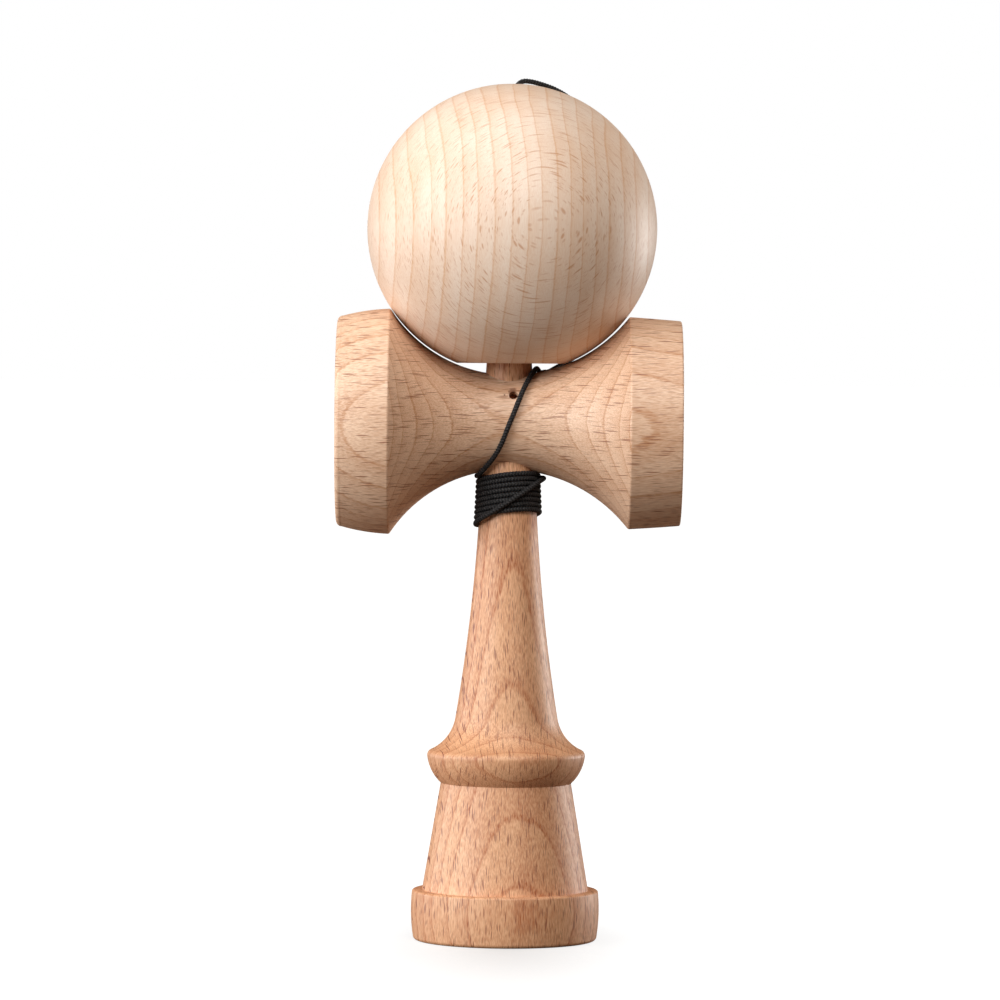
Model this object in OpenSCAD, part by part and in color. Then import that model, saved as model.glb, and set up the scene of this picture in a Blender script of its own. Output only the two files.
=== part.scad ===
// Cup and ball toy turned from plain beech: a handle whose upper end is a spike, a crosspiece with a
// cup at each end that is wedged on the handle's taper, and a ball on a braided string.
// Millimetres, +Z up. The origin is the middle of the base on the floor, the crosspiece lies along X
// with its large cup at -X, and the front is -Y. The ball hangs over the spike and rests on the crosspiece.

/* [Handle base] */
// Radius of the base band at its widest
base_r = 19.6; // [18:0.1:24]
// Height of the base band
base_h = 10.5; // [8:0.1:16]
// Height at which the base band is widest
base_widest_z = 6.5; // [4:0.1:9]
// Radius of the bulge of the base band, seen from the side
base_bulge_r = 38; // [25:1:80]
// Rounding of the lower edge of the base band
base_foot_round = 0.9; // [0.4:0.1:1.5]
// Rounding of the upper edge of the base band
base_top_round = 0.55; // [0.3:0.1:1.2]
// Width of the flat ring that the toy stands on
base_ring_w = 2; // [1:0.1:4]
// Depth of the cup under the base
base_cup_depth = 5.4; // [4.6:0.1:8]

/* [Handle grip and collar] */
// Radius of the grip cone where it stands on the base band
grip_r = 17.3; // [14.5:0.1:17.8]
// Radius of the grip cone under the collar
grip_top_r = 13.6; // [11:0.1:14.5]
// Height of the grip cone
grip_h = 22.25; // [12:0.1:40]
// Radius of the collar under its rounded edge
collar_r = 16.45; // [15.5:0.05:18]
// Height of the swelling under the collar's edge
collar_h = 5.6; // [5:0.1:8]
// Radius of the curve under the collar's edge, seen from the side
collar_curve_r = 11.5; // [8:0.5:30]
// Height of the collar's rounded edge
collar_edge_h = 1.2; // [0.8:0.1:1.5]
// Inset of the collar's rounded edge
collar_edge_in = 0.5; // [0.3:0.05:0.6]
// Rounding of the collar's edge
collar_edge_round = 0.85; // [0.82:0.01:2]

/* [Handle neck and spike] */
// Height of the cove above the collar
cove_h = 7.1; // [6.4:0.1:8]
// Radius of the cove, seen from the side
cove_curve_r = 9; // [8:0.1:12]
// Radius of the neck at its foot, above the cove
neck_foot_r = 10.6; // [9.5:0.1:11.5]
// Radius of the neck where it enters the crosspiece
neck_r = 5.65; // [5:0.05:6.5]
// Length of the neck from the cove to the crosspiece
neck_len = 51.4; // [40:0.1:70]
// Radius of the neck's hollow curve, seen from the side
neck_curve_r = 380; // [300:10:900]
// Radius of the taper where it leaves the crosspiece
taper_top_r = 4.87; // [4:0.01:4.95]
// Length of the spike above the crosspiece
spike_len = 38.5; // [25:0.5:39.5]
// Radius of the spike's rounded tip
spike_tip_r = 2.6; // [1.5:0.1:3.5]

/* [Crosspiece] */
// Radius of the crosspiece at its waist
waist_r = 9.9; // [9:0.05:12]
// Distance from the handle's axis to the ridge of the large cup
large_ridge_x = 24.8; // [22:0.1:28]
// Radius of the ridge of the large cup
large_ridge_r = 23.5; // [21:0.05:25]
// Distance from the handle's axis to the rim of the large cup
large_rim_x = 35.75; // [33:0.1:40]
// Radius of the rim of the large cup
large_rim_r = 21.95; // [20.5:0.05:23]
// Rounding of the rim of the large cup
large_rim_round = 1.1; // [0.3:0.1:1.4]
// Radius of the large cup's bulging wall, seen from the side
large_wall_r = 42; // [25:1:200]
// Radius of the mouth of the large cup
large_cup_r = 19.4; // [17:0.1:19.6]
// Depth of the large cup
large_cup_depth = 7.8; // [7:0.1:10]
// Distance from the handle's axis to the ridge of the small cup
small_ridge_x = 25; // [22:0.1:28]
// Radius of the ridge of the small cup
small_ridge_r = 22.1; // [20:0.05:24]
// Distance from the handle's axis to the rim of the small cup
small_rim_x = 35.8; // [33:0.1:40]
// Radius of the rim of the small cup
small_rim_r = 21.35; // [19.5:0.05:22]
// Rounding of the rim of the small cup
small_rim_round = 0.4; // [0.2:0.1:1.2]
// Radius of the small cup's nearly straight wall, seen from the side
small_wall_r = 400; // [60:10:900]
// Radius of the mouth of the small cup
small_cup_r = 18.6; // [16:0.1:19]
// Depth of the small cup
small_cup_depth = 7; // [6.2:0.1:9]
// Rounding of both ridges
ridge_round = 0.6; // [0.3:0.05:1]

/* [String holes in the crosspiece] */
// Radius of the two string holes, front and back
string_hole_r = 0.95; // [0.8:0.05:1.4]
// Height of the string holes above the crosspiece's axis
string_hole_up = 5.7; // [4:0.1:6]
// Distance of the string holes to the right of the handle's axis
string_hole_x = 0.9; // [0:0.1:1.5]
// Radius of the pocket behind each string hole that takes a knot
knot_pocket_r = 1.75; // [1.6:0.05:2]
// Thickness of the wood that is left outside each pocket
knot_pocket_lip = 0.75; // [0.6:0.05:0.9]

/* [Ball] */
// Radius of the ball
ball_r = 30.15; // [29:0.05:32]
// Distance from the ball's middle down to the flat round its hole
ball_flat_down = 27.95; // [27:0.05:28.5]
// Radius of the ball's hole
ball_hole_r = 9.25; // [8.5:0.05:9.8]
// Width of the bevel at the mouth of the hole
ball_bevel = 1.4; // [0.5:0.1:1.6]
// Depth of the hole from the flat
ball_hole_depth = 48; // [47:0.5:52]
// Radius of the string hole at the top of the ball
ball_string_r = 1.5; // [1:0.05:2]
// Width of the countersink of that string hole
ball_string_sink = 1.3; // [0.6:0.1:2]
// How far the ball sits to the right of the handle's axis
ball_shift = 0.4; // [0:0.1:0.6]

/* [Bead and knots] */
// Radius of the bead under the roof of the ball's hole
bead_r = 3.5; // [2.8:0.1:5]
// Length of the bead along the string
bead_len = 6; // [4:0.1:6.5]
// Radius of the bead's bore
bead_bore_r = 0.95; // [0.8:0.05:1.2]
// Radius of the stopper knot under the bead
ball_knot_r = 2.2; // [1.8:0.1:2.8]
// Length of the stopper knot under the bead
ball_knot_len = 3.4; // [2.5:0.1:3.8]
// Wraps of the stopper knot under the bead
ball_knot_wraps = 3; // [2:1:4]
// Radius of the knot in the crosspiece
cross_knot_r = 1.55; // [1.4:0.05:1.7]
// Wraps of the knot in the crosspiece
cross_knot_wraps = 1; // [1:1:2]

/* [String winding] */
// Diameter of the string
cord_d = 1.1; // [0.8:0.05:1.2]
// Distance from one turn to the next
turn_pitch = 1.06; // [1:0.02:1.3]
// Gap that is left between the turns
turn_gap = 0.45; // [0.43:0.01:0.5]
// Number of turns from the first to the crossing
turns = 8; // [4:1:9]
// How far below the crosspiece the first turn starts at the back of the neck
wind_down = 1.35; // [1:0.05:8]
// How far each turn leans up at the front right and down at the back left
turn_lean = 1.4; // [0:0.05:1.5]
// How far the last turn dips at the left, where the crossing strand starts
crossing_dip = 0.35; // [0:0.05:1]
// How far below the crosspiece the crossing strand comes up over the turns at the right
crossing_down = 1.7; // [1:0.05:6]
// How far below the crosspiece the string leaves the winding at the left
leaving_down = 1.3; // [1:0.05:6]

/* [Fits] */
// Clearance of the taper in the crosspiece
taper_fit = 0.03; // [0.01:0.01:0.1]
// Gap between the ball and what it rests on
ball_gap = 0.1; // [0.05:0.05:0.5]
// Gap between the bead and the roof of the ball's hole
bead_gap = 0.15; // [0.05:0.05:0.5]
// Gap at the ends of the knots
knot_gap = 0.1; // [0.05:0.05:0.3]

/* [Hidden] */
$fn = 96;
// How far cuts run past a face, and a small overlap that keeps a cut clean where two curves meet
cut = 1;
overlap = 0.02;
// Straight pieces in a small rounding and in a long curve, where a section's curve is drawn as points
round_steps = 8;
curve_steps = 16;
wood = "#d6ab88";
pale_wood = "#e6c8aa";
string_black = "#1d1c20";

// Heights along the handle
grip_top_z = base_h + grip_h;
collar_z = grip_top_z + collar_h;
cove_z = collar_z + collar_edge_h;
neck_z = cove_z + cove_h;
neck_top_z = neck_z + neck_len;
taper_top_z = neck_top_z + 2 * waist_r;
cross_z = neck_top_z + waist_r;
spike_top_z = taper_top_z + spike_len;

// Radius of the taper at a height, also just past its ends
function taper_r(z) = neck_r + (taper_top_r - neck_r) * (z - neck_top_z) / (taper_top_z - neck_top_z);

// Centre of an arc of radius r through two points, on the axis side (1) or on the outer side (-1)
function arc_middle(p, q, r, side) =
    let (d = q - p, half = norm(d) / 2)
    (p + q) / 2 + side * sqrt(r * r - half * half) * [-d[1], d[0]] / norm(d);
// Radius of a sphere whose cap has this mouth radius and depth
function dish_r(mouth, depth) = (mouth * mouth + depth * depth) / (2 * depth);
function unit(v) = v / norm(v);
// Tangent points and centre of a rounding of radius r at corner p between directions u and v
function corner(p, u, v, r) =
    let (half = acos(u * v) / 2)
    [p + u * r / tan(half), p + v * r / tan(half), p + unit(u + v) * r / sin(half)];

// Radius of the hollow curve from the waist to a ridge, level at the waist
function waist_curve_r(ridge_x, ridge_r) = dish_r(ridge_x, ridge_r - waist_r);
// Radius of the crosspiece at a distance from its middle, on the side of one ridge
function waist_at(x, ridge_x, ridge_r) =
    let (r = waist_curve_r(ridge_x, ridge_r)) waist_r + r - sqrt(r * r - x * x);

// Height of the ball's middle above the crosspiece's axis when it rests on a ridge, or on the mouth of
// its hole
function on_ridge(x, r) = r + sqrt(pow(ball_r + ball_gap, 2) - x * x);
ball_mouth_r = ball_hole_r + ball_bevel;
ball_flat_r = sqrt(ball_r * ball_r - ball_flat_down * ball_flat_down);
function on_mouth(ridge_x, ridge_r, shift) =
    waist_at(ball_flat_r + shift, ridge_x, ridge_r) + ball_flat_down + ball_gap;
ball_up = max(
    on_ridge(large_ridge_x + ball_shift, large_ridge_r), on_ridge(small_ridge_x - ball_shift, small_ridge_r),
    on_mouth(large_ridge_x, large_ridge_r, -ball_shift), on_mouth(small_ridge_x, small_ridge_r, ball_shift));
ball_z = cross_z + ball_up;
ball_flat_z = ball_z - ball_flat_down;
ball_roof_z = ball_flat_z + ball_hole_depth;
bead_z = ball_roof_z - bead_gap - bead_len / 2;
ball_knot_top_z = bead_z - bead_len / 2 - knot_gap;

// The string holes point at the crosspiece's axis. The knot lies between the taper and the pocket's lip,
// and distances along a hole count from the axis
string_hole_tilt = asin(string_hole_up / waist_r);
pocket_out = sqrt(pow(waist_r - knot_pocket_lip, 2) - pow(knot_pocket_r, 2));
cross_knot_clear = taper_r(cross_z) + knot_gap + cross_knot_r * sin(string_hole_tilt);
cross_knot_in = cross_knot_clear / cos(string_hole_tilt);
cross_knot_len = pocket_out - knot_gap - cross_knot_in;
function hole_point(d) =
    [string_hole_x, d * cos(string_hole_tilt), cross_z + d * sin(string_hole_tilt)];

// The winding: angles run anticlockwise seen from above, from +X, so the back is at 90 and the left at 180
rings_per_turn = 24;
wound_d = turn_pitch - turn_gap;
wound_sides = 6;
cord_sides = 8;
back_angle = 90;
start_angle = 115;
left_angle = 180;
lean_angle = 310;
// Angle at the left where the turns end and the crossing strand starts up across the front
crossing_angle = left_angle + turns * 360;
// Angle at the right where the crossing strand is over the turns, and the angle where the string leaves
over_angle = crossing_angle + 180;
leaving_angle = over_angle + 190;
// The strand climbs on to the turns between these angles, and comes part of the way down again at the end
climb_angles = [crossing_angle, crossing_angle + 45];
drop_angles = [over_angle + 130, over_angle + 185];
lift_left = 0.25;

function ease(u) = let (v = min(max(u, 0), 1)) v * v * (3 - 2 * v);
function between(a, span) = ease((a - span[0]) / (span[1] - span[0]));
function mix(a, b, u) = a + (b - a) * u;
wind_z = neck_top_z - wind_down;
crossing_z = neck_top_z - crossing_down;
leaving_z = neck_top_z - leaving_down;
function turn_z(a) =
    wind_z - turn_pitch * (a - back_angle) / 360 + turn_lean * cos(a - lean_angle)
    - crossing_dip * between(a, [crossing_angle - 90, crossing_angle]);
function wound_z(a) =
    a < crossing_angle ? turn_z(a)
    : a < over_angle ? mix(turn_z(crossing_angle), crossing_z, (1 - cos(a - crossing_angle)) / 2)
    : mix(crossing_z, leaving_z, between(a, [over_angle, leaving_angle]));
neck_middle = arc_middle([neck_foot_r, neck_z], [neck_r, neck_top_z], neck_curve_r, -1);
function neck_at(z) = neck_middle[0] - sqrt(neck_curve_r * neck_curve_r - pow(z - neck_middle[1], 2));
function wound_point(a) =
    let (z = wound_z(a), lift = between(a, climb_angles) - (1 - lift_left) * between(a, drop_angles))
    let (r = neck_at(z) + cord_d * (1 / 2 + lift))
    [r * cos(a), r * sin(a), z];
wound_angles = [for (a = [start_angle : 360 / rings_per_turn : leaving_angle]) a];
wound_line = [for (a = wound_angles) wound_point(a)];
wound_last = len(wound_line) - 1;
wound_in = unit(wound_line[1] - wound_line[0]);
wound_out = unit(wound_line[wound_last] - wound_line[wound_last - 1]);
// Both ends run straight for one tube diameter
wound_path = concat(
    [wound_line[0] - wound_in * wound_d], wound_line, [wound_line[wound_last] + wound_out * wound_d]);
wound_start = wound_path[0];
wound_end = wound_path[len(wound_path) - 1];

// Least gap between the tube's parts that are at least half a turn apart, from each point to each stretch
function to_stretch(p, a, b) =
    let (d = b - a, u = min(max((p - a) * d / (d * d), 0), 1)) norm(p - a - d * u);
wound_gap = min([
    for (i = [0 : wound_last]) for (j = [i + rings_per_turn / 2 : 1 : wound_last - 1])
        to_stretch(wound_line[i], wound_line[j], wound_line[j + 1])
]) - wound_d;
echo(least_gap_between_turns = wound_gap, wound_tube = wound_d);

// Rings to each stretch of a route, where the points lie close and elsewhere
close_rings = 1;
route_rings = 2;
// Route of the string from its knot in the crosspiece, out of the rear hole and down to the winding, with
// heights from the crosspiece's axis
function from_axis(points) = [for (p = points) p + [0, 0, cross_z]];
tail_route = concat(
    [hole_point(cross_knot_in + cross_knot_len), hole_point(waist_r + cord_d / 2)],
    from_axis([
        [0.9, 9.5, 6.4], [0.9, 10.6, 6.3], [0.9, 11.5, 5.7], [0.9, 12, 4.8], [0.9, 12.1, 3.8],
        [0.9, 12, 2.6], [0.9, 11.7, 1.2], [0.9, 11.2, -0.8], [0.9, 10.6, -3], [0.9, 9.7, -5.3],
        [0.9, 8.5, -7.4], [0.9, 7.4, -9], [0.9, 6.8, -9.9], [0.8, 6.5, -10.8], [0.4, 6.4, -11.6],
        [-0.3, 6.4, -12.2], [-1.2, 6.3, -12.5]
    ]),
    [wound_start]);
// Route from the winding up over the crosspiece's waist and past the spike
lead_route = concat(
    [wound_end, wound_end + wound_out * cord_d],
    from_axis([
        [-6, -4.3, -10.7], [-4.9, -5.7, -9.5], [-3.6, -7.4, -7.9], [-2.4, -8.8, -6.1], [-1.2, -10, -3.6],
        [-0.1, -10.6, -0.7], [1, -10.5, 2], [2.1, -9.6, 4.8], [3.2, -7.9, 7.4], [4.4, -5.2, 9.6],
        [5.3, -2, 10.9], [5.8, 1.4, 11.2], [6.5, 4.8, 10.4], [7.4, 6.5, 10.5]
    ]));
// Route on from there, up behind the ball and into its top. Round the ball, each point is the angle to the
// back, the angle above the ball's middle and the distance off the ball
ball_middle = [ball_shift, 0, ball_z];
function by_ball(turn, up, off) =
    ball_middle + (ball_r + off) * [cos(up) * cos(turn), cos(up) * sin(turn), sin(up)];
function on_string(x, y, down) = ball_middle + [x, y, ball_r - down];
riser_route = concat(
    from_axis([[7.4, 6.5, 10.5], [8.3, 8.2, 10.6], [10.3, 10.7, 11.7]]),
    [
        by_ball(46, -57, 2.4), by_ball(43, -50, 1.8), by_ball(41, -41, 1), by_ball(40, -25, 0.8),
        by_ball(39, -10, 0.8), by_ball(37, 5, 0.8), by_ball(36, 20, 0.8), by_ball(35, 35, 0.8),
        by_ball(34, 50, 0.8), by_ball(33, 63, 0.8), by_ball(32, 70, 0.9), by_ball(32, 74, 0.9),
        by_ball(32, 78, 0.9), by_ball(32, 82, 0.9), on_string(2, 1.3, -0.6), on_string(0.8, 0.5, 0.3),
        on_string(0.1, 0.1, 1.9), on_string(0, 0, 3.9), on_string(0, 0, 6), on_string(0, 0, 9.5),
        [ball_shift, 0, ball_knot_top_z]
    ]);

// Point and direction on a smooth curve through a route, a share u of the way from point i to the next
function route_at(p, i) =
    i < 0 ? 2 * p[0] - p[1] : i > len(p) - 1 ? 2 * p[len(p) - 1] - p[len(p) - 2] : p[i];
function route_point(p, i, u) =
    let (a = route_at(p, i - 1), b = p[i], c = route_at(p, i + 1), d = route_at(p, i + 2))
    b + u / 2 * (c - a + u * (2 * a - 5 * b + 4 * c - d + u * (3 * b - a - 3 * c + d)));
function route_way(p, i, u) =
    let (a = route_at(p, i - 1), b = p[i], c = route_at(p, i + 1), d = route_at(p, i + 2))
    unit(c - a + u * (2 * (2 * a - 5 * b + 4 * c - d) + u * 3 * (3 * b - a - 3 * c + d)));
// Pairs of an index and a share, steps to each stretch of a route
function route_steps(p, steps) =
    concat([for (i = [0 : len(p) - 2]) for (k = [0 : steps - 1]) [i, k / steps]], [[len(p) - 1, 0]]);

// Points of the arc of radius r from p to q, without p, about a middle on the axis side (1) or the
// outer side (-1)
function arc(p, q, r, side, steps) =
    let (m = arc_middle(p, q, r, side), a = atan2(p[1] - m[1], p[0] - m[0]))
    let (turn = side * 2 * asin(norm(q - p) / 2 / r))
    [for (i = [1 : steps]) i == steps ? q : m + r * [cos(a + turn * i / steps), sin(a + turn * i / steps)]];
// A small rounding from p to q, bulging outwards
function rounding(p, q, r) = arc(p, q, r, 1, round_steps);

// Half section of one half of the crosspiece, from the waist at 0 out to the rim, as [radius, distance]
module cross_half(ridge_x, ridge_r, rim_x, rim_r, rim_round, wall_r, cup_r, cup_depth) {
    curve_r = waist_curve_r(ridge_x, ridge_r);
    inward = unit([-ridge_x / sqrt(curve_r * curve_r - ridge_x * ridge_x), -1]);
    wall_end = [rim_r, rim_x - rim_round];
    ridge = corner([ridge_r, ridge_x], inward, unit(wall_end - [ridge_r, ridge_x]), ridge_round);
    rim = [rim_r - rim_round, rim_x];
    cup_ball_r = dish_r(cup_r, cup_depth);
    difference() {
        polygon(concat(
            [[0, 0], [ridge[0][0] + overlap, 0], ridge[0] + [overlap, 0]],
            rounding(ridge[0], ridge[1], ridge_round), rounding(ridge[1], wall_end, wall_r),
            rounding(wall_end, rim, rim_round), [[0, rim_x]]));
        translate([waist_r + curve_r, 0]) circle(curve_r);
        translate([0, rim_x - cup_depth + cup_ball_r]) circle(cup_ball_r);
    }
}

// A cord swept along points in the given directions, as one closed tube of triangles
module tube(points, ways, d, sides) {
    last = len(points) - 1;
    first = unit(cross(ways[0], abs(ways[0][2]) < 0.9 ? [0, 0, 1] : [1, 0, 0]));
    across = [
        for (i = 0, n = first; i <= last; i = i + 1, n = i <= last ? unit(n - n * ways[i] * ways[i]) : n) n
    ];
    rings = [
        for (i = [0 : last]) for (k = [0 : sides - 1])
            let (a = 360 * k / sides)
            points[i] + d / 2 * (cos(a) * across[i] + sin(a) * cross(ways[i], across[i]))
    ];
    walls = [
        for (i = [0 : last - 1]) for (k = [0 : sides - 1])
            let (a = i * sides + k, b = i * sides + (k + 1) % sides)
            each [[a, b + sides, b], [a, a + sides, b + sides]]
    ];
    caps = [
        for (k = [1 : sides - 2])
            let (e = last * sides)
            each [[0, k, k + 1], [e, e + k + 1, e + k]]
    ];
    polyhedron(rings, concat(walls, caps), convexity = 10);
}

module route_tube(route, steps) {
    at = route_steps(route, steps);
    tube(
        [for (s = at) route_point(route, s[0], s[1])], [for (s = at) route_way(route, s[0], s[1])],
        cord_d, cord_sides);
}

// A stopper knot of a few snug wraps, standing on the plane z = 0
module knot(length, r, wraps) {
    wrap_r = length / wraps / 2;
    rotate_extrude() {
        square([r - wrap_r, length]);
        for (i = [0 : wraps - 1]) translate([r - wrap_r, wrap_r * (2 * i + 1)]) circle(wrap_r);
    }
}

module handle() {
    function wall_at(z) = base_r - base_bulge_r + sqrt(pow(base_bulge_r, 2) - pow(z - base_widest_z, 2));
    foot = [wall_at(base_foot_round), base_foot_round];
    ring_r = foot[0] - base_foot_round;
    shoulder_z = base_h - base_top_round;
    shoulder = [wall_at(shoulder_z), shoulder_z];
    band_top = [shoulder[0] - base_top_round, base_h];
    grip_top = [grip_top_r, grip_top_z];
    collar_edge = [collar_r, collar_z];
    cove_edge = [collar_r - collar_edge_in, cove_z];
    neck_foot = [neck_foot_r, neck_z];
    neck_top = [neck_r, neck_top_z];
    tip = [spike_tip_r, spike_top_z - spike_tip_r];
    cup_ball_r = dish_r(ring_r - base_ring_w, base_cup_depth);
    color(wood) rotate_extrude() difference() {
        polygon(concat(
            [[0, 0], [ring_r, 0]], rounding([ring_r, 0], foot, base_foot_round),
            rounding(foot, shoulder, base_bulge_r), rounding(shoulder, band_top, base_top_round),
            [[grip_r, base_h], grip_top], rounding(grip_top, collar_edge, collar_curve_r),
            rounding(collar_edge, cove_edge, collar_edge_round),
            arc(cove_edge, neck_foot, cove_curve_r, -1, curve_steps),
            arc(neck_foot, neck_top, neck_curve_r, -1, curve_steps), [[taper_top_r, taper_top_z], tip],
            rounding(tip, [0, spike_top_z], spike_tip_r)));
        translate([0, base_cup_depth - cup_ball_r]) circle(cup_ball_r);
    }
}

module crosspiece() {
    low = neck_top_z - cut;
    high = taper_top_z + cut;
    color(pale_wood) translate([0, 0, cross_z]) difference() {
        rotate([0, 90, 0]) rotate_extrude() {
            cross_half(
                small_ridge_x, small_ridge_r, small_rim_x, small_rim_r, small_rim_round, small_wall_r,
                small_cup_r, small_cup_depth);
            mirror([0, 1]) cross_half(
                large_ridge_x, large_ridge_r, large_rim_x, large_rim_r, large_rim_round, large_wall_r,
                large_cup_r, large_cup_depth);
        }
        translate([0, 0, low - cross_z])
            cylinder(h = high - low, r1 = taper_r(low) + taper_fit, r2 = taper_r(high) + taper_fit);
        for (side = [-1, 1])
            translate([string_hole_x, 0, 0]) rotate([side * (90 - string_hole_tilt), 0, 0]) {
                cylinder(h = waist_r + cut, r = string_hole_r);
                cylinder(h = pocket_out, r = knot_pocket_r);
            }
    }
}

module ball() {
    color(pale_wood) translate([ball_shift, 0, ball_z]) rotate_extrude() difference() {
        intersection() {
            circle(ball_r);
            translate([0, -ball_flat_down]) square([ball_r, ball_flat_down + ball_r]);
        }
        translate([0, -ball_flat_down - cut]) square([ball_hole_r, ball_hole_depth + cut]);
        polygon([
            [0, -ball_flat_down - cut], [ball_mouth_r + cut, -ball_flat_down - cut],
            [ball_hole_r, ball_bevel - ball_flat_down], [0, ball_bevel - ball_flat_down]
        ]);
        square([ball_string_r, ball_r + cut]);
        sink_z = sqrt(pow(ball_r, 2) - pow(ball_string_r + ball_string_sink, 2));
        polygon([
            [0, sink_z - ball_string_sink], [ball_string_r, sink_z - ball_string_sink],
            [ball_string_r + ball_string_sink + cut, sink_z + cut], [0, sink_z + cut]
        ]);
    }
}

module bead() {
    color(wood) translate([ball_shift, 0, bead_z]) rotate_extrude() intersection() {
        circle(bead_r);
        translate([bead_bore_r, -bead_len / 2]) square([bead_r, bead_len]);
    }
}

module crosspiece_knot() {
    color(string_black) translate([string_hole_x, 0, cross_z]) rotate([string_hole_tilt - 90, 0, 0])
        translate([0, 0, cross_knot_in]) knot(cross_knot_len, cross_knot_r, cross_knot_wraps);
}

module ball_knot() {
    color(string_black) translate([ball_shift, 0, ball_knot_top_z - ball_knot_len])
        knot(ball_knot_len, ball_knot_r, ball_knot_wraps);
}

module string_tail() {
    color(string_black) route_tube(tail_route, close_rings);
}

module string_winding() {
    count = len(wound_path);
    ways = concat(
        [wound_in, wound_in], [for (i = [2 : count - 3]) unit(wound_path[i + 1] - wound_path[i - 1])],
        [wound_out, wound_out]);
    color(string_black) tube(wound_path, ways, wound_d, wound_sides);
}

module string_lead() {
    color(string_black) route_tube(lead_route, route_rings);
}

module string_riser() {
    color(string_black) route_tube(riser_route, route_rings);
}

handle();
crosspiece();
ball();
bead();
crosspiece_knot();
ball_knot();
string_tail();
string_winding();
string_lead();
string_riser();
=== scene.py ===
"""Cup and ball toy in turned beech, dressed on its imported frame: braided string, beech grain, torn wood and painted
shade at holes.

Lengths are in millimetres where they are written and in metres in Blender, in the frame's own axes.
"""
import math

import bpy
import numpy as np
from mathutils import Matrix, Vector


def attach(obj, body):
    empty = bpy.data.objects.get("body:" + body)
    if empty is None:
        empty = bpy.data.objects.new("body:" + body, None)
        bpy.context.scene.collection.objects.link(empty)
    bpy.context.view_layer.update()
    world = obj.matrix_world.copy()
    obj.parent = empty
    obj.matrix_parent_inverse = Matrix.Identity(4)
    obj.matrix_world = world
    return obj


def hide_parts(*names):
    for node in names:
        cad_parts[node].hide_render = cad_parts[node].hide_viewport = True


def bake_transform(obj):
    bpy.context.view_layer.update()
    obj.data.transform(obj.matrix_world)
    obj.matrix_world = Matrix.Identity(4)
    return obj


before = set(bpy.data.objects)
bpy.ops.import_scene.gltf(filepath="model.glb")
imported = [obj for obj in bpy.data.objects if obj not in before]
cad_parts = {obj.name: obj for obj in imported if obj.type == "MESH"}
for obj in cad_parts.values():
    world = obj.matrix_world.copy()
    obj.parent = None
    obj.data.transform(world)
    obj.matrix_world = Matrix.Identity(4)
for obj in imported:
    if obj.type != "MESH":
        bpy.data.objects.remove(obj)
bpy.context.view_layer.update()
MM = 0.001


# Camera: the photo's view, square to the crosspiece and level with it, tilted down to the middle of the toy
# and turned a little about its own line of sight. The frame is 208.3 mm wide at the handle's axis.
eye = Vector((-1.7, -1150, 120.35)) * MM
aim = Vector((-1.7, 0, 91.75)) * MM
camera = bpy.data.objects.new("camera", bpy.data.cameras.new("camera"))
camera.data.sensor_width = 36
camera.data.lens = 36 * (aim - eye).length / 0.20833
look = (aim - eye).to_track_quat("-Z", "Y").to_matrix().to_4x4()
camera.matrix_world = Matrix.Translation(eye) @ look @ Matrix.Rotation(math.radians(0.47), 4, "Z")
bpy.context.collection.objects.link(camera)
bpy.context.scene.camera = camera


def grid_piece(name, points, close_rows=False, sharp=None, ridge=None):
    """A mesh over points[i, j]: quads between neighbours, closed round j.

    Along i it is closed too with close_rows, and otherwise has a cap at each end. Edges sharper than sharp degrees
    stay crisp. ridge[i, j] is kept as an attribute for the material.
    """
    rows, cols = points.shape[:2]
    i = np.arange(rows if close_rows else rows - 1)[:, None]
    j = np.arange(cols)[None, :]
    corners = [(i, j), (i, j + 1), (i + 1, j + 1), (i + 1, j)]
    quads = np.stack([(a % rows) * cols + b % cols + 0 * i + 0 * j for a, b in corners], axis=-1)
    faces = quads.reshape(-1, 4).tolist()
    if not close_rows:
        faces += [np.arange(cols)[::-1].tolist(), np.arange((rows - 1) * cols, rows * cols).tolist()]
    mesh = bpy.data.meshes.new(name)
    mesh.from_pydata((points.reshape(-1, 3) * MM).tolist(), [], faces)
    mesh.shade_smooth()
    if sharp:
        mesh.set_sharp_from_angle(angle=math.radians(sharp))
    if ridge is not None:
        attribute = mesh.attributes.new("ridge", "FLOAT", "POINT")
        attribute.data.foreach_set("value", ridge.reshape(-1).astype(np.float32))
    piece = bpy.data.objects.new(name, mesh)
    bpy.context.collection.objects.link(piece)
    return piece


def evenly(line, step):
    """The same line with its points a step apart along it."""
    s = np.concatenate([[0], np.cumsum(np.linalg.norm(np.diff(line, axis=0), axis=1))])
    at = np.linspace(0, s[-1], max(2, round(s[-1] / step) + 1))
    return np.stack([np.interp(at, s, line[:, k]) for k in range(3)], axis=1)


def smooth_route(points, step=0.08):
    """A Catmull-Rom curve through points, as points a step apart.

    From b to c, between a and d: b + u/2 (c - a + u (2a - 5b + 4c - d + u (3b - a - 3c + d))), u from 0 to 1.
    """
    p = np.asarray(points, float)
    p = np.vstack([2 * p[0] - p[1], p, 2 * p[-1] - p[-2]])
    a, b, c, d = (p[k:len(p) - 3 + k, None] for k in range(4))
    u = np.linspace(0, 1, 60, endpoint=False)[None, :, None]
    line = b + u / 2 * (c - a + u * (2 * a - 5 * b + 4 * c - d + u * (3 * b - a - 3 * c + d)))
    return evenly(np.vstack([line.reshape(-1, 3), p[-2]]), step)


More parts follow.
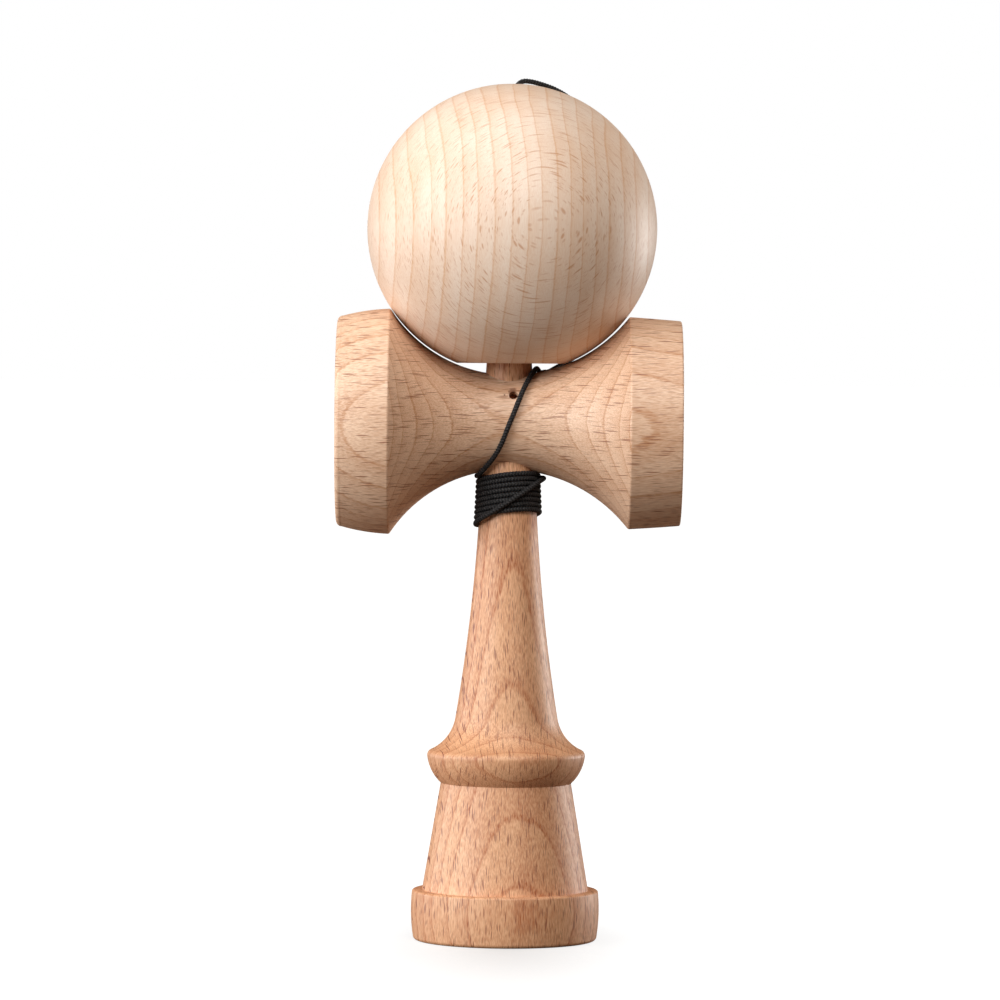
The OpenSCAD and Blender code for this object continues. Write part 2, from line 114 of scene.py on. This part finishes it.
def braided_tube(name, line, diameter, sides=16, depth=0.3, lay=0.64):
    """A braided cord along a line: r = d/2 (1 - depth (1 - h)), h = |cos(pi s/lay + 2v)|, v = |w mod 90 - 45|.

    s is the way along the cord and w the angle round it, so four columns of strands slant to either hand.
    """
    way = np.gradient(line, axis=0)
    way /= np.linalg.norm(way, axis=1)[:, None]
    across = np.empty_like(way)
    n = np.cross(way[0], [0.3, 0.2, 0.93])
    for k, t in enumerate(way):
        n = n - t * (n @ t)
        n = n / np.linalg.norm(n)
        across[k] = n
    s = np.concatenate([[0], np.cumsum(np.linalg.norm(np.diff(line, axis=0), axis=1))])[:, None]
    w = np.linspace(0, 2 * np.pi, sides, endpoint=False)[None, :]
    ridge = abs(np.cos(np.pi * s / lay + 2 * abs(w % (np.pi / 2) - np.pi / 4)))
    r = diameter / 2 * (1 - depth * (1 - ridge))
    out = np.cos(w)[..., None] * across[:, None] + np.sin(w)[..., None] * np.cross(way, across)[:, None]
    return grid_piece(name, line[:, None] + r[..., None] * out, ridge=ridge)


# String: one black braided nylon cord, 1.1 mm thick. From its knot in the crosspiece it comes out of the rear
# hole, winds down the neck, crosses up over its own turns and rises past the spike and round the ball.
CORD = 1.1
CROSS_Z = 107.95
HOLE_TILT = math.asin(5.7 / 9.9)
BALL_R = 30.15
BALL_MID = np.array([0.4, 0, 148.184])
neck_foot, neck_top, neck_curve = (10.6, 46.65), (5.65, 98.05), 380.0
half = (np.subtract(neck_top, neck_foot)) / 2
normal = np.array([half[1], -half[0]]) / np.hypot(*half)
neck_mid = np.add(neck_foot, neck_top) / 2 + normal * math.sqrt(neck_curve ** 2 - half @ half)


def neck_radius(z):
    """Radius of the neck at a height: the hollow arc r = xm - sqrt(R^2 - (z - zm)^2)."""
    return neck_mid[0] - np.sqrt(neck_curve ** 2 - (z - neck_mid[1]) ** 2)


def ease(x, lo, hi):
    """Smooth step from 0 at lo to 1 at hi: v^2 (3 - 2v)."""
    v = np.clip((x - lo) / (hi - lo), 0, 1)
    return v * v * (3 - 2 * v)


# The winding's angles go anticlockwise from +X seen from above: 90 is the back, 180 the left, 270 the front. Its turns
# lean up to the front right, cross up over themselves from crossing to over, and go off to the front at leaving.
first_turn, crossing, over, leaving = 115.0, 3060.0, 3240.0, 3430.0
turn_pitch, turn_lean, lean_angle, crossing_dip = 1.06, 1.4, 310.0, 0.35
angle = np.arange(first_turn, leaving + 0.1, 1.5)
wind_z, crossing_z, leaving_z = np.subtract(neck_top[1], (1.35, 1.7, 1.3))
turn_z = wind_z - turn_pitch * (angle - 90) / 360 + turn_lean * np.cos(np.radians(angle - lean_angle))
turn_z -= crossing_dip * ease(angle, crossing - 90, crossing)
first_z = np.interp(crossing, angle, turn_z)
climb_z = first_z + (crossing_z - first_z) * (1 - np.cos(np.radians(angle - crossing))) / 2
last_z = crossing_z + (leaving_z - crossing_z) * ease(angle, over, leaving)
wound_z = np.where(angle < crossing, turn_z, np.where(angle < over, climb_z, last_z))
lift = ease(angle, crossing, crossing + 45) - 0.75 * ease(angle, over + 130, over + 185)
wound_r = neck_radius(wound_z) + CORD * (0.5 + lift)
turn = np.radians(angle)
winding = np.stack([wound_r * np.cos(turn), wound_r * np.sin(turn), wound_z], axis=1)


def along_hole(distance):
    """A point in the rear string hole, at a distance from the crosspiece's axis."""
    return [0.9, distance * math.cos(HOLE_TILT), distance * math.sin(HOLE_TILT)]


def from_axis(points):
    """Points whose heights count from the crosspiece's axis."""
    return np.asarray(points, float) + [0, 0, CROSS_Z]


def by_ball(points):
    """Points at (angle to the back t, angle up u, distance off the ball).

    Each is the ball's middle + (R + off)(cos u cos t, cos u sin t, sin u).
    """
    t, u, off = np.asarray(points, float).T
    t, u = np.radians(t), np.radians(u)
    return BALL_MID + ((BALL_R + off) * np.stack([np.cos(u) * np.cos(t), np.cos(u) * np.sin(t), np.sin(u)])).T


tail = smooth_route(np.vstack([
    from_axis([
        along_hole(8.88), along_hole(10.45), [0.9, 9.5, 6.4], [0.9, 10.6, 6.3], [0.9, 11.5, 5.7], [0.9, 12, 4.8],
        [0.9, 12.1, 3.8], [0.9, 12, 2.6], [0.9, 11.7, 1.2], [0.9, 11.2, -0.8], [0.9, 10.6, -3], [0.9, 9.7, -5.3],
        [0.9, 8.5, -7.4], [0.9, 7.4, -9], [0.9, 6.8, -9.9], [0.8, 6.5, -10.8], [0.4, 6.4, -11.6],
        [-0.3, 6.4, -12.2], [-1.2, 6.3, -12.5]]),
    winding[0] + 4 * (winding[0] - winding[1]), winding[0]]))
lead = smooth_route(np.vstack([
    winding[-1], winding[-1] + 9 * (winding[-1] - winding[-2]),
    from_axis([
        [-6, -4.3, -10.7], [-4.9, -5.7, -9.5], [-3.6, -7.4, -7.9], [-2.4, -8.8, -6.1], [-1.2, -10, -3.6],
        [-0.1, -10.6, -0.7], [1, -10.5, 2], [2.1, -9.6, 4.8], [3.2, -7.9, 7.4], [4.4, -5.2, 9.6],
        [5.3, -2, 10.9], [5.8, 1.4, 11.2], [6.5, 4.8, 10.4], [7.4, 6.5, 10.5]])]))
wound_line = evenly(np.vstack([tail, winding[1:-1], lead]), 0.08)
riser_line = smooth_route(np.vstack([
    from_axis([[7.4, 6.5, 10.5], [8.3, 8.2, 10.6], [10.3, 10.7, 11.7]]),
    by_ball([
        [46, -57, 2.4], [43, -50, 1.8], [41, -41, 1], [40, -25, 0.8], [39, -10, 0.8], [37, 5, 0.8], [36, 20, 0.8],
        [35, 35, 0.8], [34, 50, 0.8], [33, 63, 0.8], [32, 70, 0.9], [32, 74, 0.9], [32, 78, 0.9], [32, 82, 0.9]]),
    BALL_MID + [
        [2, 1.3, 30.75], [0.8, 0.5, 29.85], [0.1, 0.1, 28.25], [0, 0, 26.25], [0, 0, 24.15], [0, 0, 20.65],
        [0, 0, 13.8]]]))

nylon = bpy.data.materials.new("string_black_nylon")
nylon.use_nodes = True
nodes, links = nylon.node_tree.nodes, nylon.node_tree.links
shader = nodes["Principled BSDF"]
shader.inputs["Specular IOR Level"].default_value = 0.3
ridge_at = nodes.new("ShaderNodeAttribute")
ridge_at.attribute_name = "ridge"
where = nodes.new("ShaderNodeTexCoord")
fuzz = nodes.new("ShaderNodeTexNoise")
fuzz.inputs["Scale"].default_value = 2600
links.new(where.outputs["Object"], fuzz.inputs["Vector"])
# Painted sheen and shade: the braid's ridge tops are painted dark grey and its troughs near black, varied by fine
# noise; the same mask makes the ridge tops glossier.
painted_ridge_sheen = nodes.new("ShaderNodeMath")
painted_ridge_sheen.operation = "MULTIPLY"
links.new(ridge_at.outputs["Fac"], painted_ridge_sheen.inputs[0])
links.new(fuzz.outputs["Fac"], painted_ridge_sheen.inputs[1])
tone = nodes.new("ShaderNodeValToRGB")
tone.color_ramp.elements[0].position = 0.2
tone.color_ramp.elements[0].color = (0.0006, 0.0006, 0.0008, 1)
tone.color_ramp.elements[1].position = 0.55
tone.color_ramp.elements[1].color = (0.05, 0.047, 0.049, 1)
links.new(painted_ridge_sheen.outputs[0], tone.inputs["Fac"])
links.new(tone.outputs["Color"], shader.inputs["Base Color"])
rough = nodes.new("ShaderNodeMapRange")
rough.inputs["To Min"].default_value = 0.8
rough.inputs["To Max"].default_value = 0.42
links.new(painted_ridge_sheen.outputs[0], rough.inputs["Value"])
links.new(rough.outputs["Result"], shader.inputs["Roughness"])

wound_string = braided_tube("wound_string", wound_line, CORD)
wound_string.data.materials.append(nylon)
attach(wound_string, "handle")
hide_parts("string_tail", "string_winding", "string_lead")

rising_string = braided_tube("rising_string", riser_line, CORD)
rising_string.data.materials.append(nylon)
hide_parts("string_riser")
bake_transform(rising_string)


def beech(name, light, deep, dark, axes, turn=0.0, pith=(0.0, 60.0), ring=2.6, lines=0.3, rays=0.8,
          ray_size=(0.4, 12.0, 2.4), fibre=0.3, torn_and_shaded_spots=()):
    """Solid beech on Object coordinates in millimetres: rings and fibre from light to deep, rays dark.

    axes says which of X, Y, Z run across the rays, along the radius and along the fibre, turn is the log's angle
    about Z. Rings: fract(|(across, radius) - pith| / ring). Rays: long thin spots in some cells of ray_size.
    lines, rays and fibre say how strong each pattern is. The last argument lists (x, y, z, radius, colour) where torn
    wood shows, and where painted shade darkens a hole's mouth.
    """
    material = bpy.data.materials.new(name)
    material.use_nodes = True
    tree = material.node_tree
    shader = tree.nodes["Principled BSDF"]

    def node(kind, **inputs):
        made = tree.nodes.new("ShaderNode" + kind)
        for key, value in inputs.items():
            socket = made.inputs[int(key[1:])] if key[1:].isdigit() else made.inputs[key.replace("_", " ")]
            if isinstance(value, bpy.types.NodeSocket):
                tree.links.new(value, socket)
            else:
                socket.default_value = value
        return made

    def number(operation, a, b=0.0):
        made = node("Math", i0=a, i1=b)
        made.operation = operation
        return made.outputs[0]

    def vector(operation, a, b):
        made = node("VectorMath", i0=a, i1=b)
        made.operation = operation
        return made.outputs["Value" if operation in ("LENGTH", "DISTANCE") else "Vector"]

    def rise(value, lo, hi, top=1.0):
        made = node("MapRange", Value=value, From_Min=lo, From_Max=hi, To_Min=0.0, To_Max=top)
        made.interpolation_type = "SMOOTHSTEP"
        return made.outputs[0]

    def noise(at, size, detail=2.0):
        return node("TexNoise", Vector=vector("DIVIDE", at, size), Scale=1.0, Detail=detail)

    def blend(share, a, b):
        made = node("Mix", i0=share)
        made.data_type = "RGBA"
        for socket, value in zip(made.inputs[6:8], (a, b)):
            if isinstance(value, bpy.types.NodeSocket):
                tree.links.new(value, socket)
            else:
                socket.default_value = (*value, 1)
        return made.outputs[2]

    place = vector("MULTIPLY", node("TexCoord").outputs["Object"], (1000, 1000, 1000))
    turned_place = node("VectorRotate", Vector=place, Angle=math.radians(turn))
    turned_place.rotation_type = "Z_AXIS"
    x, y, z = (node("SeparateXYZ", Vector=turned_place.outputs[0]).outputs[k] for k in axes)
    log = node("CombineXYZ", X=x, Y=y, Z=z).outputs[0]
    sway = vector("SUBTRACT", noise(log, (22, 22, 60)).outputs["Color"], (0.5, 0.5, 0.5))
    log = vector("ADD", log, vector("MULTIPLY", sway, (3.2, 3.2, 3.2)))

    flat = vector("MULTIPLY", vector("SUBTRACT", log, (pith[0], pith[1], 0)), (1, 1, 0.012))
    jagged = number("MULTIPLY", noise(log, (0.5, 0.5, 2.5)).outputs["Fac"], 0.4)
    years = number("DIVIDE", number("ADD", vector("LENGTH", flat, (0, 0, 0)), jagged), ring)
    uneven = node("TexNoise", Vector=node("CombineXYZ", X=number("MULTIPLY", years, 0.6)).outputs[0], Scale=1.0)
    year = number("FRACT", number("ADD", years, number("MULTIPLY", uneven.outputs["Fac"], 0.9)))
    late = number("MULTIPLY", rise(year, 0.1, 0.96), number("SUBTRACT", 1.0, rise(year, 0.9, 1.0)))
    edge = number("MULTIPLY", rise(year, 0.84, 0.93), number("SUBTRACT", 1.0, rise(year, 0.96, 1.0)))

    ray = 0.0
    for finer, strength in ((1.0, 1.0), (0.55, 0.6)):
        cells = node("TexVoronoi", Vector=vector("DIVIDE", log, [finer * side for side in ray_size]), Scale=1.0)
        chance = node("SeparateColor", Color=cells.outputs["Color"]).outputs[0]
        reach = number("ADD", rise(chance, 0.1, 0.9, 0.36), 0.03)
        outside = rise(number("DIVIDE", cells.outputs["Distance"], reach), 0.5, 1.15, strength)
        ray = number("MAXIMUM", ray, number("SUBTRACT", strength, outside))
    streak = noise(log, (0.17, 0.17, 2.0), 3.0).outputs["Fac"]
    cloud = noise(log, (9, 12, 40)).outputs["Fac"]

    shade = number("ADD", number("MULTIPLY", late, 0.6 * lines), number("MULTIPLY", edge, lines))
    shade = number("ADD", shade, rise(streak, 0.3, 0.7, fibre))
    shade = number("MINIMUM", number("ADD", shade, rise(cloud, 0.3, 0.7, 0.2)), 1.0)
    colour = blend(number("MULTIPLY", ray, rays), blend(shade, light, deep), dark)
    # Each spot blends its colour in: torn wood, and at the front string hole's mouth painted shade.
    for x, y, z, radius, tint in torn_and_shaded_spots:
        ragged = noise(place, (0.7, 0.7, 0.35), 3.0).outputs["Fac"]
        near = number("ADD", vector("DISTANCE", place, (x, y, z)), number("MULTIPLY", ragged, 1.2 * radius))
        colour = blend(number("SUBTRACT", 0.8, rise(near, 1.2 * radius, 1.7 * radius, 0.8)), colour, tint)
    tree.links.new(colour, shader.inputs["Base Color"])
    gloss = node("MapRange", Value=shade, To_Min=0.48, To_Max=0.65)
    tree.links.new(gloss.outputs[0], shader.inputs["Roughness"])
    shader.inputs["Specular IOR Level"].default_value = 0.75
    height = number("SUBTRACT", number("MULTIPLY", streak, 0.7), number("MULTIPLY", ray, 0.5))
    bump = node("Bump", Height=height, Strength=0.35, Distance=0.00004)
    tree.links.new(bump.outputs[0], shader.inputs["Normal"])
    return material


def arc(p, q, r, side, steps):
    """Points of the arc of radius r from p to q, without p: m + r (cos a, sin a).

    Its middle m is on the left of the way from p to q where side is 1, and on the right where it is -1.
    """
    p, q = np.asarray(p, float), np.asarray(q, float)
    d = q - p
    m = (p + q) / 2 + side * math.sqrt(r * r - d @ d / 4) * np.array([-d[1], d[0]]) / np.linalg.norm(d)
    start = math.atan2(*(p - m)[::-1])
    sweep = side * 2 * math.asin(np.linalg.norm(d) / 2 / r)
    a = start + sweep * np.arange(1, steps + 1) / steps
    return m + r * np.stack([np.cos(a), np.sin(a)], axis=1)


def straight(p, q, steps):
    """Points on the line from p to q, without p."""
    u = np.arange(1, steps + 1)[:, None] / steps
    return np.asarray(p, float) * (1 - u) + np.asarray(q, float) * u


def turned(name, profile, middle, sides=240, close=False):
    """A turned piece: (r, z) of the profile swept round an upright axis, x = r cos w, y = r sin w."""
    w = np.linspace(0, 2 * np.pi, sides, endpoint=False)[None, :]
    r, z = profile[:, :1], profile[:, 1:]
    points = np.stack([r * np.cos(w), r * np.sin(w), z + 0 * w], axis=-1) + np.asarray(middle, float)
    return grid_piece(name, points, close_rows=close, sharp=25)


# Handle: one turned piece of warm beech, its grain upright. It stands on a flat ring round the base cup, and
# its taper is wedged in the crosspiece with the spike above.
cup_middle, cup_curve, spike_end = (0.02, 5.4), 27.256, (0.02, 156.35)
ring_in, ring_out, foot = (16.285, 0), (18.285, 0), (19.185, 0.9)
shoulder, band_top, grip_foot = (19.443, 9.95), (18.893, 10.5), (17.3, 10.5)
grip_top, collar, cove_edge = (13.6, 32.75), (16.45, 38.35), (15.5, 39.76)
taper_top, tip = (4.87, 117.85), (2.6, 153.75)
handle_profile = np.vstack([
    [cup_middle], arc(cup_middle, ring_in, cup_curve, -1, 30), straight(ring_in, ring_out, 3),
    arc(ring_out, foot, 0.9, 1, 8), arc(foot, shoulder, 38, 1, 20), arc(shoulder, band_top, 0.55, 1, 8),
    straight(band_top, grip_foot, 3), straight(grip_foot, grip_top, 24), arc(grip_top, collar, 9.2, 1, 16),
    arc(collar, cove_edge, 1.3, 1, 14), arc(cove_edge, neck_foot, 9, -1, 24),
    arc(neck_foot, neck_top, neck_curve, -1, 60), straight(neck_top, taper_top, 12), straight(taper_top, tip, 30),
    arc(tip, spike_end, 2.6, 1, 12)])
handle = turned("turned_handle", handle_profile, (0, 0, 0))
handle.data.materials.append(beech(
    "handle_beech", light=(0.86, 0.505, 0.285), deep=(0.4, 0.105, 0.022), dark=(0.2, 0.04, 0.012), axes=(0, 1, 2),
    turn=-8, pith=(-2, 62), lines=0.24, rays=0.95, ray_size=(0.24, 10, 3.4), fibre=0.5))
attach(handle, "handle")
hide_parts("handle")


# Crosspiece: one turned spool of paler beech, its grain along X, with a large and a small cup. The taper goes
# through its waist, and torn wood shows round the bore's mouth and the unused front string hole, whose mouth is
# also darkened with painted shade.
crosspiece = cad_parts["crosspiece"]
crosspiece.data.materials.clear()
# The dark brown ring round the front string hole is painted shade in its mouth; the same brown makes a small dark
# speck beside it, and the cream spots are light chips of torn wood.
cream, hole_shade_and_speck_brown = (0.84, 0.66, 0.48), (0.2, 0.075, 0.035)
crosspiece.data.materials.append(beech(
    "crosspiece_beech", light=(0.9, 0.64, 0.455), deep=(0.48, 0.195, 0.07), dark=(0.25, 0.07, 0.025), axes=(2, 1, 0),
    pith=(108, 58), ring=2.4, lines=0.24, rays=0.9, ray_size=(0.26, 12, 5), fibre=0.42,
    torn_and_shaded_spots=[(0.7, -7.6, 114.5, 1.0, hole_shade_and_speck_brown), (0.1, -8.0, 113.5, 0.35, cream), (-0.95, -8.1, 113.7, 0.22, hole_shade_and_speck_brown),
          (-1.5, -5, 117.2, 1.2, cream), (-3.6, -3.6, 117.4, 0.9, cream), (1.2, -5, 117.2, 0.6, cream)]))


# Ball: pale beech with its rays in view at the front, bored wide for the spike and fine for the string. It hangs
# over the spike and rests on the crosspiece.
bore_r, bore_roof, bore_bevel, flat_z, string_hole_r, sink_r = 9.25, 20.05, 1.4, -27.95, 1.5, 2.8
sink_edge = (sink_r, math.sqrt(BALL_R ** 2 - sink_r ** 2))
hole_top, hole_end = (string_hole_r, sink_edge[1] - 1.3), (string_hole_r, bore_roof)
bore_top, bore_end, bevel_end = (bore_r, bore_roof), (bore_r, flat_z + bore_bevel), (bore_r + bore_bevel, flat_z)
flat_edge, widest = (math.sqrt(BALL_R ** 2 - flat_z ** 2), flat_z), (BALL_R, 0)
ball_profile = np.vstack([
    [hole_top], straight(hole_top, hole_end, 8), straight(hole_end, bore_top, 6), straight(bore_top, bore_end, 24),
    straight(bore_end, bevel_end, 4), straight(bevel_end, flat_edge, 2), arc(flat_edge, widest, BALL_R, 1, 40),
    arc(widest, sink_edge, BALL_R, 1, 50), straight(sink_edge, hole_top, 4)[:-1]])
ball = turned("turned_ball", ball_profile, BALL_MID, close=True)
ball.data.materials.append(beech(
    "ball_beech", light=(0.86, 0.7, 0.575), deep=(0.62, 0.3, 0.115), dark=(0.5, 0.2, 0.07), axes=(1, 0, 2), turn=-13,
    pith=(-30, 100), ring=3.1, lines=0.26, rays=0.6, ray_size=(0.24, 8, 2.4), fibre=0.2))
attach(ball, "ball")
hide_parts("ball")


# Bead: a small turned bead under the roof of the ball's hole. The string runs through it to the stopper knot.
bead_r, bead_half, bead_hole_r, bead_up = 3.5, 3, 0.95, 16.9
bead_end = math.sqrt(bead_r ** 2 - bead_half ** 2)
low_out, high_out = (bead_end, -bead_half), (bead_end, bead_half)
low_in, high_in = (bead_hole_r, -bead_half), (bead_hole_r, bead_half)
bead_profile = np.vstack([
    [low_out], arc(low_out, high_out, bead_r, 1, 32), straight(high_out, high_in, 2), straight(high_in, low_in, 8),
    straight(low_in, low_out, 2)[:-1]])
bead = turned("turned_bead", bead_profile, BALL_MID + [0, 0, bead_up], sides=64, close=True)
bead.data.materials.append(beech(
    "bead_beech", light=(0.72, 0.46, 0.28), deep=(0.5, 0.22, 0.08), dark=(0.2, 0.06, 0.02), axes=(0, 1, 2),
    pith=(4, 20), ring=1.6))
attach(bead, "bead")
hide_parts("bead")


def stopper_knot(length, radius, wraps):
    """Line of a tied stopper: a helix of wraps, r = radius - d/2, then back up through its middle, from z = 0."""
    t = np.linspace(0, 1, 60 * wraps)
    r = (radius - CORD / 2) * ease(t, 0, 0.12)
    w = 2 * np.pi * wraps * t
    down = np.stack([r * np.cos(w), r * np.sin(w), length - CORD / 2 - (length - CORD) * t], axis=1)
    tuck = smooth_route([down[-1], down[-1] + [-0.5, 0.5, 0], [0.2, 0.3, CORD / 2], [0, 0, length / 2]])
    return evenly(np.vstack([down, tuck[1:]]), 0.08)


# Knots: the string's two stoppers, one under the bead and one in the pocket of the crosspiece's rear hole.
under_bead = stopper_knot(length=3.4, radius=2.2, wraps=3) + BALL_MID + [0, 0, 10.4]
ball_stopper = braided_tube("ball_stopper", under_bead, CORD)
ball_stopper.data.materials.append(nylon)
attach(ball_stopper, "bead")
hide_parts("ball_knot")
to_hole = np.array(Matrix.Rotation(HOLE_TILT - math.pi / 2, 3, "X"))
in_pocket = from_axis(stopper_knot(length=1.234, radius=1.55, wraps=1) @ to_hole.T + along_hole(7.647))
rear_stopper = braided_tube("rear_stopper", in_pocket, CORD)
rear_stopper.data.materials.append(nylon)
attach(rear_stopper, "handle")
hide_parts("crosspiece_knot")


# Stage: a pale floor with painted shade in a patch just before the base, a large soft light from the left, weaker
# ones from the front and above, and a low strip behind each side for the edges. The floor is dark for rays that
# aren't the camera's, so it throws little light up.
floor = bpy.data.objects.new("floor", bpy.data.meshes.new("floor"))
floor.data.from_pydata([(-30, -30, 0), (30, -30, 0), (30, 30, 0), (-30, 30, 0)], [], [(0, 1, 2, 3)])
bpy.context.collection.objects.link(floor)
white = bpy.data.materials.new("floor_white")
white.use_nodes = True
nodes, links = white.node_tree.nodes, white.node_tree.links
shader = nodes["Principled BSDF"]
shader.inputs["Base Color"].default_value = (0.12, 0.115, 0.11, 1)
shader.inputs["Roughness"].default_value = 0.6
shader.inputs["Emission Color"].default_value = (1, 1, 1, 1)
where = nodes.new("ShaderNodeTexCoord")
# Painted shade: the floor's glow dips in an oval just before the base, standing in for the base's shade on the floor.
before_base = nodes.new("ShaderNodeVectorMath")
before_base.operation = "SUBTRACT"
before_base.inputs[1].default_value = (0, -0.016, 0)
links.new(where.outputs["Object"], before_base.inputs[0])
painted_shade_patch = nodes.new("ShaderNodeVectorMath")
painted_shade_patch.operation = "DIVIDE"
painted_shade_patch.inputs[1].default_value = (0.019, 0.06, 1)
links.new(before_base.outputs["Vector"], painted_shade_patch.inputs[0])
away = nodes.new("ShaderNodeVectorMath")
away.operation = "LENGTH"
links.new(painted_shade_patch.outputs["Vector"], away.inputs[0])
glow = nodes.new("ShaderNodeMapRange")
glow.inputs["From Min"].default_value = 0
glow.inputs["From Max"].default_value = 2
glow.inputs["To Min"].default_value = 0.64
glow.inputs["To Max"].default_value = 1.05
links.new(away.outputs["Value"], glow.inputs["Value"])
links.new(glow.outputs["Result"], shader.inputs["Emission Strength"])
dim = nodes.new("ShaderNodeBsdfDiffuse")
dim.inputs["Color"].default_value = (0.13, 0.1, 0.08, 1)
seen = nodes.new("ShaderNodeLightPath")
choose = nodes.new("ShaderNodeMixShader")
links.new(seen.outputs["Is Camera Ray"], choose.inputs[0])
links.new(dim.outputs[0], choose.inputs[1])
links.new(shader.outputs[0], choose.inputs[2])
links.new(choose.outputs[0], nodes["Material Output"].inputs["Surface"])
floor.data.materials.append(white)

for name, at, width, height, power, tint in (
        ("key", (-1030, -640, 410), 900, 800, 16.2, (0.95, 0.98, 1)),
        ("front", (220, -920, 850), 600, 500, 7.1, (1, 0.97, 0.93)),
        ("top", (-100, -200, 950), 700, 700, 3.3, (1, 0.99, 0.975)),
        ("left_strip", (-680, 260, 115), 200, 220, 1.9, (0.97, 0.985, 1)),
        ("right_strip", (610, 400, 115), 200, 220, 2.7, (1, 0.97, 0.94))):
    lamp = bpy.data.objects.new(name, bpy.data.lights.new(name, "AREA"))
    lamp.data.shape = "RECTANGLE"
    lamp.data.size = width * MM
    lamp.data.size_y = height * MM
    lamp.data.energy = power
    lamp.data.color = tint
    way = Vector((0, 0, 0.1)) - Vector(at) * MM
    lamp.matrix_world = Matrix.Translation(Vector(at) * MM) @ way.to_track_quat("-Z", "Y").to_matrix().to_4x4()
    bpy.context.collection.objects.link(lamp)

world = bpy.data.worlds.new("studio")
bpy.context.scene.world = world
world.use_nodes = True
nodes, links = world.node_tree.nodes, world.node_tree.links
sky = nodes["Background"]
sky.inputs["Color"].default_value = (1, 0.85, 0.7, 1)
sky.inputs["Strength"].default_value = 0.05
backdrop = nodes.new("ShaderNodeBackground")
backdrop.inputs["Color"].default_value = (1, 1, 1, 1)
seen = nodes.new("ShaderNodeLightPath")
choose = nodes.new("ShaderNodeMixShader")
links.new(seen.outputs["Is Camera Ray"], choose.inputs[0])
links.new(sky.outputs[0], choose.inputs[1])
links.new(backdrop.outputs[0], choose.inputs[2])
links.new(choose.outputs[0], nodes["World Output"].inputs["Surface"])
bpy.context.scene.view_settings.view_transform = "Standard"
